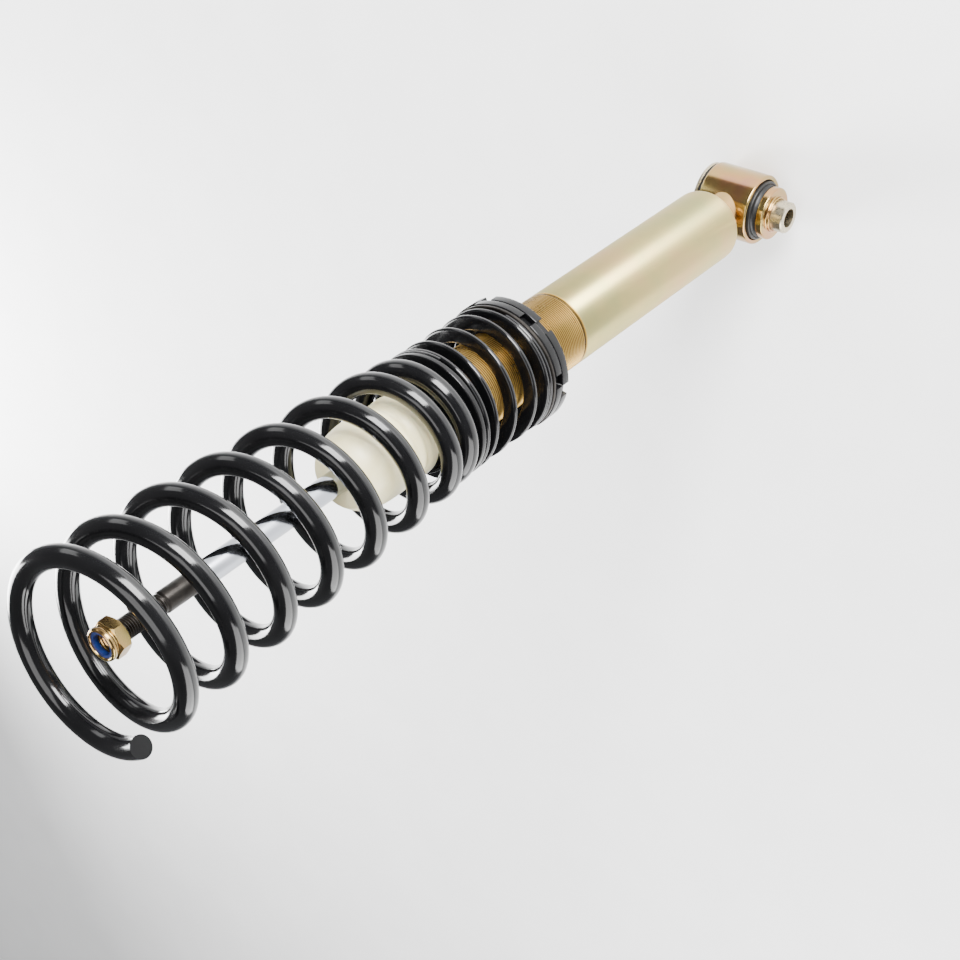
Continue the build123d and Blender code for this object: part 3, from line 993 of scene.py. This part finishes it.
def make_notched_ring(node, body, first_angle, spigot_radius=None):
    """A threaded ring with its spanner notches; the perch also has a spigot."""
    low, high = box_mm(node)
    foot, top = low[2], high[2]
    rim_top = foot + PERCH_RIM if spigot_radius else top
    outline = [(RING_BORE_R, foot), (RING_R, foot), (RING_R, rim_top)]
    if spigot_radius:
        outline += [(spigot_radius, rim_top), (spigot_radius, top)]
    outline += [(RING_BORE_R, top)]
    blank = turned_mesh(node + " blank", rounded(outline, RING_EDGE), ANODISED, segments=192)
    cut = grown(
        node + " notches",
        NOTCHES,
        {
            "Rim Radius": RING_R * MM,
            "Width": NOTCH_WIDTH * MM,
            "Depth": NOTCH_DEPTH * MM,
            "Height": 20.0 * MM,
            "Middle": (foot + rim_top) / 2 * MM,
            "First Angle": radians(first_angle),
            "Notches": NOTCH_COUNT,
            "Finish": ANODISED,
        },
        mesh=blank,
    )
    return piece("notched_" + node, cut, body, node, slot="black_anodised")


def make_coupler():
    low, high = box_mm("spring_coupler")
    foot, top = low[2], high[2]
    flange = foot + COUPLER_LOWER
    face = flange + COUPLER_FLANGE
    outline = [
        (COUPLER_BORE_R, foot),
        (COUPLER_LOWER_R, foot),
        (COUPLER_LOWER_R, flange),
        (COUPLER_R, flange),
        (COUPLER_R, face),
        (COUPLER_UPPER_R, face),
        (COUPLER_UPPER_R, top),
        (COUPLER_BORE_R, top),
    ]
    mesh = turned_mesh("coupler", rounded(outline, RING_EDGE), ANODISED)
    return piece("flanged_coupler", mesh, "coupler", "spring_coupler", slot="black_anodised")


# ---- Bump stop ----


def make_bump_stop():
    low, high = box_mm("bump_stop")
    foot, top = low[2], high[2]
    side = [
        (22.6, foot),
        (24.7, foot + 2.5),
        (24.9, foot + 7.0),
        (24.1, foot + 10.5),
        (24.6, foot + 13.5),
        (22.9, foot + 17.5),
        (24.6, foot + 22.0),
        (25.4, foot + 29.0),
        (24.9, foot + 41.0),
        (22.4, foot + 51.5),
        (18.2, top),
    ]
    outline = smooth_through(side) + [Vector((STOP_BORE_R, top)), Vector((STOP_BORE_R, foot))]
    mesh = turned_mesh("bump stop", outline, FOAM)
    return piece("foam_bump_stop", mesh, "bump", "bump_stop", slot="foam_cream")


# ---- Carried-over CAD nodes ----

FINISHES = {
    "neck": EYE_ZINC,
    "weld_beads": EYE_ZINC,
    "eye_sleeve": SLEEVE_STEEL,
    "end_washer": SLEEVE_STEEL,
    "pressure_tube": OILED_STEEL,
    "base_valve": SINTERED,
    "base_valve_disc": OILED_STEEL,
    "rod_guide": SINTERED,
    "oil_seal": RUBBER,
    "gland_cap": ANODISED,
    "wiper_seal": RUBBER,
    "piston": SINTERED,
    "piston_ring": BEARING_BAND,
    "piston_shims": OILED_STEEL,
    "piston_nut": OILED_STEEL,
    "rebound_collar": OILED_STEEL,
    "rebound_bumper": RUBBER,
    "nylon_insert": NYLON,
    "slip_washer": OXIDE,
}


def finish_nodes():
    for name, material in FINISHES.items():
        thing = nodes[name]
        thing.data.materials.clear()
        thing.data.materials.append(material)


# ---- Floor, light and camera ----


def make_floor():
    lowest = cad_box[0][2]
    mesh = bpy.data.meshes.new("floor")
    signs = [(-1, -1), (1, -1), (1, 1), (-1, 1)]
    corners = [(x * FLOOR_HALF, y * FLOOR_HALF, lowest) for x, y in signs]
    mesh.from_pydata(corners, [], [(0, 1, 2, 3)])
    mesh.materials.append(studio_paper())
    placed("floor", mesh)


def make_light(name, azimuth, height, distance, size, power):
    """A soft box facing the middle of the strut, hidden from the camera itself.

    The azimuth is in degrees, the power in watts and the rest in metres.
    """
    middle = Vector((0, 0, LIT_HEIGHT))
    spot = Vector((distance * cos(radians(azimuth)), distance * sin(radians(azimuth)), height))
    light = bpy.data.lights.new(name, "AREA")
    light.shape = "RECTANGLE"
    light.size, light.size_y = size
    light.energy = power
    lamp = bpy.data.objects.new(name, light)
    lamp.location = spot
    lamp.rotation_euler = (middle - spot).to_track_quat("-Z", "Y").to_euler()
    lamp.visible_camera = False
    bpy.context.scene.collection.objects.link(lamp)


def make_studio():
    make_light("key soft box", 68, 0.55, 1.2, (0.55, 1.0), 95)
    make_light("broad side box", -50, 0.55, 1.2, (1.4, 0.9), 40)
    make_light("rim strip", 203, 0.55, 1.2, (0.4, 1.0), 45)
    make_light("back fill", 140, 0.8, 1.6, (0.5, 0.9), 6)
    make_light("overhead soft box", 30, 2.2, 0.4, (1.4, 1.4), 36)
    world = bpy.data.worlds.new("studio")
    world.use_nodes = True
    glow = world.node_tree.nodes["Background"]
    glow.inputs["Color"].default_value = linear("#F2F4F7")
    glow.inputs["Strength"].default_value = 0.3
    bpy.context.scene.world = world


def make_camera():
    right = Vector((0.79998, -0.00589, -0.59999))
    back = Vector((0.49872, 0.56252, 0.65943))
    up = back.cross(right)
    camera = bpy.data.cameras.new("camera")
    camera.lens = 72.8
    camera.sensor_width = 36.0
    camera.shift_x = -0.012
    eye = bpy.data.objects.new("camera", camera)
    turn = Matrix((right, up, back)).transposed().to_4x4()
    eye.matrix_world = Matrix.Translation((0.59092, 0.59148, 1.06308)) @ turn
    bpy.context.scene.collection.objects.link(eye)
    bpy.context.scene.camera = eye


make_threaded_body()
make_rod()
make_nut()
make_eye()
make_springs()
make_notched_ring("lock_ring", "lock", LOCK_NOTCH_ANGLE)
make_notched_ring("perch_ring", "perch", PERCH_NOTCH_ANGLE, spigot_radius=PERCH_SPIGOT_R)
make_coupler()
make_bump_stop()
finish_nodes()
make_floor()
make_studio()
make_camera()
